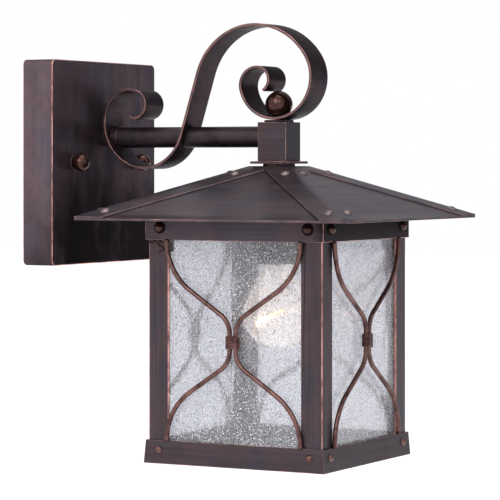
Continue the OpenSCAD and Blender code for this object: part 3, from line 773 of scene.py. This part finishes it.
WIRE_LOW, WIRE_HIGH = box_mm("side_wires_front")
WIRE_MID = (WIRE_LOW.z + WIRE_HIGH.z) / 2
WIRE_PLANE = -(WIRE_LOW.y + WIRE_HIGH.y) / 2 - REACH
HALF_RISE = (WIRE_HIGH.z - WIRE_LOW.z) / 2
BEND_RISE = (WAIST_BEND + SHOULDER_BEND) * math.sin(math.radians(WIRE_ANGLE))
SLANT_RISE = WIRE_SLANT * math.cos(math.radians(WIRE_ANGLE))
WAIST = HALF_RISE - BEND_RISE - SLANT_RISE

def wire_path():
    """Half of a side's pair, as (distance from the middle, height above the waist) from bottom to top."""
    rise = [(0, WAIST), (WAIST_BEND, -WIRE_ANGLE), (0, WIRE_SLANT), (SHOULDER_BEND, WIRE_ANGLE)]
    upper = [(x, y) for x, y, _ in poses_along((WIRE_GAP, 0, 90), rise, 3.0)]
    return [(x, -y) for x, y in reversed(upper[1:])] + upper


def side_wires(i):
    turn = side_turn(i)
    meshes = []
    for mirror in (-1, 1):
        path = [CENTRE + turn @ Vector((mirror * x, -WIRE_PLANE, WIRE_MID + z)) for x, z in wire_path()]
        meshes.append(tube_mesh("wire", path, WIRE_R, 18))
    node = "side_wires_" + SIDES[i]
    stand_in(node, "bent", joined(node, meshes), [WIRE])


def wrap_path(i):
    """Helix round both wires at the waist: two half circles joined by straights on every turn."""
    turn = side_turn(i)
    r = WIRE_R + 0.05 + WRAP_WIRE_R
    half_turn = math.pi * r
    length = 2 * half_turn + 4 * WIRE_GAP
    height = WRAP_HEIGHT - 2 * WRAP_WIRE_R
    steps = WRAP_TURNS * 40
    points = []
    for k in range(steps + 1):
        s = (k / steps * WRAP_TURNS % 1) * length
        if s < half_turn:
            t = s / r - math.pi / 2
            x, y = WIRE_GAP + r * math.cos(t), r * math.sin(t)
        elif s < half_turn + 2 * WIRE_GAP:
            x, y = WIRE_GAP - (s - half_turn), r
        elif s < 2 * half_turn + 2 * WIRE_GAP:
            t = (s - half_turn - 2 * WIRE_GAP) / r + math.pi / 2
            x, y = -WIRE_GAP + r * math.cos(t), r * math.sin(t)
        else:
            x, y = -WIRE_GAP + (s - 2 * half_turn - 2 * WIRE_GAP), -r
        z = WIRE_MID - height / 2 + height * k / steps
        points.append(CENTRE + turn @ Vector((x, y - WIRE_PLANE, z)))
    return points


def wire_wraps():
    meshes = [tube_mesh("wrap", wrap_path(i), WRAP_WIRE_R, 10) for i in range(4)]
    stand_in("wire_wraps", "wound", joined("wire_wraps", meshes), [WIRE])


def weld_bead(place, size, rng):
    """A small lumpy blob of weld."""
    work = bmesh.new()
    bmesh.ops.create_icosphere(work, subdivisions=3, radius=1)
    shift = Vector((rng.uniform(0, 50), rng.uniform(0, 50), rng.uniform(0, 50)))
    for v in work.verts:
        lump = 1 + 0.22 * noise.noise(v.co * 1.6 + shift)
        v.co = place * MM + Vector(v.co[a] * size[a] for a in range(3)) * lump * MM
    return mesh_of("bead", work)


def weld_run(turn, x, z):
    """A careless run of weld along the foot of the top rail, with a curl that drips down the post."""

    def at(further, lower):
        return CENTRE + turn @ Vector((x - further, WELD_RUN_DEPTH, z - lower))

    run = [at(14.5 * k / 40, 0.8 * math.sin(0.55 * k)) for k in range(41)]
    curl = [at(6.0 + 2.3 * math.sin(0.32 * k), 0.34 * k) for k in range(22)]
    return [tube_mesh("run", run, 0.85, 8), tube_mesh("curl", curl, 0.7, 8)]


def wire_welds():
    """A bead at every end of a wire, and an untidy run beside the wire nearest the wall on the left."""
    rng = random.Random(11)
    top, bottom = WIRE_MID + HALF_RISE, WIRE_MID - HALF_RISE
    end_x = wire_path()[-1][0]
    for i in range(4):
        turn = side_turn(i)
        meshes = []
        for mirror in (-1, 1):
            for z in (top - 0.6, bottom + 0.6):
                place = CENTRE + turn @ Vector((mirror * end_x, -WIRE_PLANE + 0.3, z))
                meshes.append(weld_bead(place, (2.1, 1.7, 1.5) if i % 2 == 0 else (1.7, 2.1, 1.5), rng))
        if SIDES[i] == "left":
            meshes += weld_run(turn, -end_x, top - 0.9)
        node = "side_wires_" + SIDES[i]
        piece("wire_welds_" + SIDES[i], joined("wire_welds", meshes), [WELD], node)


for i in range(4):
    side_wires(i)
wire_wraps()
wire_welds()


# ---------- glass ----------

PANE_STEP = 2.5
PANE_DENT = 0.22
BUBBLES = 900
BUBBLE_MARGIN = 0.9


def rippled_slab(name, low, high, rng):
    """Slab whose two broad faces sink a little, so that nothing comes outside low and high."""
    size = high - low
    thin = min(range(3), key=lambda a: size[a])
    wide, tall = [a for a in range(3) if a != thin]
    columns, rows = (max(2, round(size[a] / PANE_STEP)) for a in (wide, tall))
    shift = Vector((rng.uniform(0, 90), rng.uniform(0, 90), rng.uniform(0, 90)))
    work = bmesh.new()

    def sheet(face):
        grid = []
        for j in range(rows + 1):
            row = []
            for i in range(columns + 1):
                point = low.copy()
                point[wide] += size[wide] * i / columns
                point[tall] += size[tall] * j / rows
                inside = 0 < i < columns and 0 < j < rows
                ripple = noise.noise(Vector((point[wide] / 9, point[tall] / 26, 7 * face)) + shift)
                dent = PANE_DENT * (0.5 + 0.5 * ripple) if inside else 0
                point[thin] = low[thin] + dent if face == 0 else high[thin] - dent
                row.append(work.verts.new(point * MM))
            grid.append(row)
        for j in range(rows):
            for i in range(columns):
                work.faces.new((grid[j][i], grid[j][i + 1], grid[j + 1][i + 1], grid[j + 1][i]))
        return grid

    near, far = sheet(0), sheet(1)
    for j in range(rows):
        for i in (0, columns):
            work.faces.new((near[j][i], near[j + 1][i], far[j + 1][i], far[j][i]))
    for i in range(columns):
        for j in (0, rows):
            work.faces.new((near[j][i], near[j][i + 1], far[j][i + 1], far[j][i]))
    bmesh.ops.recalc_face_normals(work, faces=work.faces)
    return mesh_of(name, work)


def bubbles(name, low, high, rng):
    """Small bubbles inside a pane, drawn out along it; their faces look inwards, as a bubble's wall does."""
    work = bmesh.new()
    for _ in range(BUBBLES):
        r = rng.choice((0.18, 0.22, 0.28, 0.36, 0.48))
        place = Vector([rng.uniform(low[a] + BUBBLE_MARGIN, high[a] - BUBBLE_MARGIN) for a in range(3)])
        scale = Matrix.Diagonal((r * MM, r * MM, r * MM * rng.uniform(1.0, 1.9), 1))
        stretched = Matrix.Translation(place * MM) @ scale
        bmesh.ops.create_icosphere(work, subdivisions=1, radius=1, matrix=stretched)
    bmesh.ops.reverse_faces(work, faces=work.faces)
    return mesh_of(name, work)


for i, side in enumerate(SIDES):
    rng = random.Random(100 + i)
    node = "glass_" + side
    low, high = box_mm(node)
    stand_in(node, "rippled", rippled_slab(node, low, high, rng), [SEEDED_GLASS])
    piece("bubbles_" + side, bubbles(node, low, high, rng), [BUBBLE], node)


# ---------- lamp ----------

LAMP_PITCH = 3.63
GLASS_WALL = 0.8
BULB_NECK_R, BULB_NECK_Z = 12.2, -72


def lamp_thread(node, r_root, r_crest, bore):
    """The coarse rolled thread of the lamp's base or of the shell that holds it."""
    low, high = box_mm(node)
    return thread_mesh(
        node, low.z, high.z, r_root, r_crest, LAMP_PITCH, CENTRE, bore=bore, segments=72, steps=16
    )


def socket():
    low, high = box_mm("socket_body")
    r = (high.x - low.x) / 2
    outline = [(14.2, low.z + 0.5), (14.7, low.z), (r - 1.2, low.z), (r - 0.4, low.z + 0.6)]
    outline += [(r - 0.3, low.z + 3)]
    for k in range(6):
        z = low.z + 4 + 2 * k
        outline += [(r - 0.3, z), (r - 0.9, z + 0.5), (r - 0.9, z + 0.9), (r - 0.3, z + 1.4)]
    outline += [(r - 0.3, high.z - 12), (r, high.z - 11.5), (r, high.z - 0.4), (r - 0.4, high.z)]
    outline += [(5.1, high.z), (5.1, -43), (14.15, -38)]
    stand_in("socket_body", "moulded", lathe_mesh("socket_body", outline, CENTRE), [BLACK_PLASTIC])
    refined("socket_cap", ZINC, ZINC, width=0.5)
    stand_in("screw_shell", "rolled", lamp_thread("screw_shell", 13.5, 14.05, 13.35), [BRASS])


def lamp_outline(low, r, top, inset):
    """The lamp glass from its lowest point up to its neck, grown inwards by inset."""
    centre = low + r
    r, neck_r = r - inset, BULB_NECK_R - inset
    distance = math.hypot(neck_r, BULB_NECK_Z - centre)
    touch = math.degrees(math.atan2(BULB_NECK_Z - centre, neck_r) - math.acos(r / distance))
    points = arc(0, centre, r, -90, touch, 40)
    points[0] = (0, centre - r)
    end = points[-1]
    for k in range(1, 9):
        t = k / 8
        ease = t * t * (3 - 2 * t) * 0.25 + t * 0.75
        points.append((end[0] + (neck_r - end[0]) * ease, end[1] + (BULB_NECK_Z - end[1]) * t))
    return points + [(neck_r, top - inset)]


def lamp():
    low, high = box_mm("bulb_glass")
    r = (high.x - low.x) / 2
    outer = lamp_outline(low.z, r, high.z, 0)
    inner = lamp_outline(low.z, r, high.z, GLASS_WALL)
    mesh = lathe_mesh("bulb_glass", outer + [(0, high.z)], CENTRE, segments=96)
    inside = lathe_mesh("bulb_inside", inner + [(0, high.z - GLASS_WALL)], CENTRE, segments=96)
    inside.flip_normals()
    stand_in("bulb_glass", "blown", joined("bulb_glass", [mesh, inside]), [GLOWING_LAMP_GLASS])
    _, high = box_mm("bulb_base")
    mesh = lamp_thread("bulb_base", 12.5, 13.1, 12.3)
    outline = [(0, high.z), (4.6, high.z), (12.4, high.z - 2.2), (12.4, high.z - 2.8), (0, high.z - 2.8)]
    cap = lathe_mesh("base_cap", outline, CENTRE)
    for face in cap.polygons:
        face.material_index = 1
    stand_in("bulb_base", "rolled", joined("bulb_base", [mesh, cap]), [BASE_METAL, BLACK_PLASTIC])
    refined("bulb_contact", BRASS, BRASS, width=0.5)


FILAMENT_LOW, FILAMENT_HIGH = -111.0, -100.0
FILAMENT_START, FILAMENT_STOP = 118.0, 222.0
FILAMENT_R = 14.5
FILAMENT_TURNS = 46
COIL_R = 0.55


def filament_point(t):
    """Point at share t of the filament's rising arc."""
    angle = math.radians(FILAMENT_START + (FILAMENT_STOP - FILAMENT_START) * t)
    return CENTRE + Vector((
        FILAMENT_R * math.cos(angle),
        FILAMENT_R * math.sin(angle),
        FILAMENT_LOW + (FILAMENT_HIGH - FILAMENT_LOW) * t,
    ))


def filament():
    """Coiled filament on three supports, held by a glass stem."""
    points = []
    for k in range(FILAMENT_TURNS * 10 + 1):
        t = k / (FILAMENT_TURNS * 10)
        along = (filament_point(min(1, t + 0.01)) - filament_point(t - 0.01)).normalized()
        side = along.cross(UP).normalized()
        turn = TAU * FILAMENT_TURNS * t
        coil = side * (COIL_R * math.cos(turn)) + side.cross(along) * (COIL_R * math.sin(turn))
        points.append(filament_point(t) + coil)
    mesh = tube_mesh("filament", points, 0.24, 6)
    core = tube_mesh("core", [filament_point(t / 20) for t in range(21)], 0.42, 8)
    stand_in("bulb_filament", "coiled", joined("filament", [mesh, core]), [FILAMENT])
    meshes = []
    for t in (0.0, 0.5, 1.0):
        end = filament_point(t)
        top = CENTRE + Vector((2.2 * math.cos(3 * t), 2.2 * math.sin(3 * t), -94.5))
        elbow = end.lerp(top, 0.5) + Vector((0, 0, 2.5))
        route = [top.lerp(elbow, s / 8).lerp(elbow.lerp(end, s / 8), s / 8) for s in range(9)]
        meshes.append(tube_mesh("support", route, 0.22, 8))
    piece("filament_supports", joined("supports", meshes), [ZINC], "bulb_filament")
    outline = [(0, -95.5), (1.6, -95.2), (2.5, -94.2), (2.6, -93), (2.2, -88), (2.4, -78), (3.4, -73)]
    outline += [(6, -69), (8.6, -66.2), (8.6, -65.4), (0, -65.4)]
    stand_in("bulb_stem", "drawn", lathe_mesh("bulb_stem", outline, CENTRE), [GLOWING_LAMP_GLASS])


socket()
lamp()
filament()
refined("lead_wires", INSULATION, INSULATION, width=0.1)


# ---------- stage, light and camera ----------

# The stage is measured in metres.
FLOOR_Z = -2.4
FLOOR_SIZE = 60
LIGHT_AIM = Vector((0, -0.12, -0.03))


def place_in_scene(name, data, location):
    made = bpy.data.objects.new(name, data)
    bpy.context.scene.collection.objects.link(made)
    made.location = location
    return made


def floor():
    work = bmesh.new()
    bmesh.ops.create_grid(work, x_segments=1, y_segments=1, size=FLOOR_SIZE)
    mesh = mesh_of("floor", work)
    mesh.materials.append(material(
        "pale_floor",
        None,
        Base_Color=(0.9, 0.9, 0.9, 1),
        Roughness=0.9,
        Emission_Color=(1, 1, 1, 1),
        Emission_Strength=0.42,
    ))
    place_in_scene("floor", mesh, (0, 0, FLOOR_Z))


def studio_world():
    """White to look at; its light is brighter on the lantern's left, and dimmer and cooler on its right."""
    world = bpy.data.worlds.new("studio")
    bpy.context.scene.world = world
    world.use_nodes = True
    tree = world.node_tree
    background = tree.nodes["Background"]
    direction = add(tree, "TexCoord").outputs["Generated"]
    brightest = (-0.80, 0.45, 0.25)
    facing = add(tree, "VectorMath", {0: direction, 1: brightest}, operation="DOT_PRODUCT").outputs["Value"]
    half = add(tree, "Math", {0: facing, 1: 0.5, 2: 0.5}, operation="MULTIPLY_ADD").outputs[0]
    light = ramp(tree, half, [
        (0.0, (0.15, 0.15, 0.18)),
        (0.12, (0.24, 0.24, 0.28)),
        (0.28, (0.46, 0.46, 0.50)),
        (0.45, (0.86, 0.86, 0.88)),
        (1.0, (1.22, 1.18, 1.22)),
    ])
    path = add(tree, "LightPath").outputs
    light = blend_colours(tree, path["Is Transmission Ray"], light, (0.67, 0.665, 0.69))
    light = blend_colours(tree, path["Is Camera Ray"], light, (1.0, 1.0, 1.0))
    tree.links.new(light, background.inputs["Color"])


def area_light(name, place, size, power):
    """Soft light aimed at the lantern; size in metres, power in watts."""
    data = bpy.data.lights.new(name, "AREA")
    data.shape = "RECTANGLE"
    data.size, data.size_y = size
    data.energy = power
    aim = LIGHT_AIM - Vector(place)
    place_in_scene(name, data, place).rotation_euler = aim.to_track_quat("-Z", "Y").to_euler()


def camera():
    """Level camera to the left of the lantern and in front of it, with the picture shifted onto it."""
    data = bpy.data.cameras.new("camera")
    data.sensor_width = 36
    data.lens = 187.2
    data.shift_x = 0.1268
    data.shift_y = -0.1777
    data.clip_end = 200
    made = place_in_scene("camera", data, (-1.5784, -0.9770, 0.0009))
    made.rotation_euler = (math.radians(90), 0, math.radians(-60.67))
    bpy.context.scene.camera = made


floor()
studio_world()
area_light("key", (-1.5, -0.1, 0.9), (0.9, 0.9), 9)
area_light("front", (0.2, -1.8, 0.7), (0.8, 1.0), 3.6)
area_light("top", (-0.1, -0.3, 1.6), (1.2, 1.2), 8)
area_light("spark", (-1.25, -1.0, 0.85), (0.22, 0.22), 2.2)
camera()
bpy.context.scene.view_settings.view_transform = "Standard"
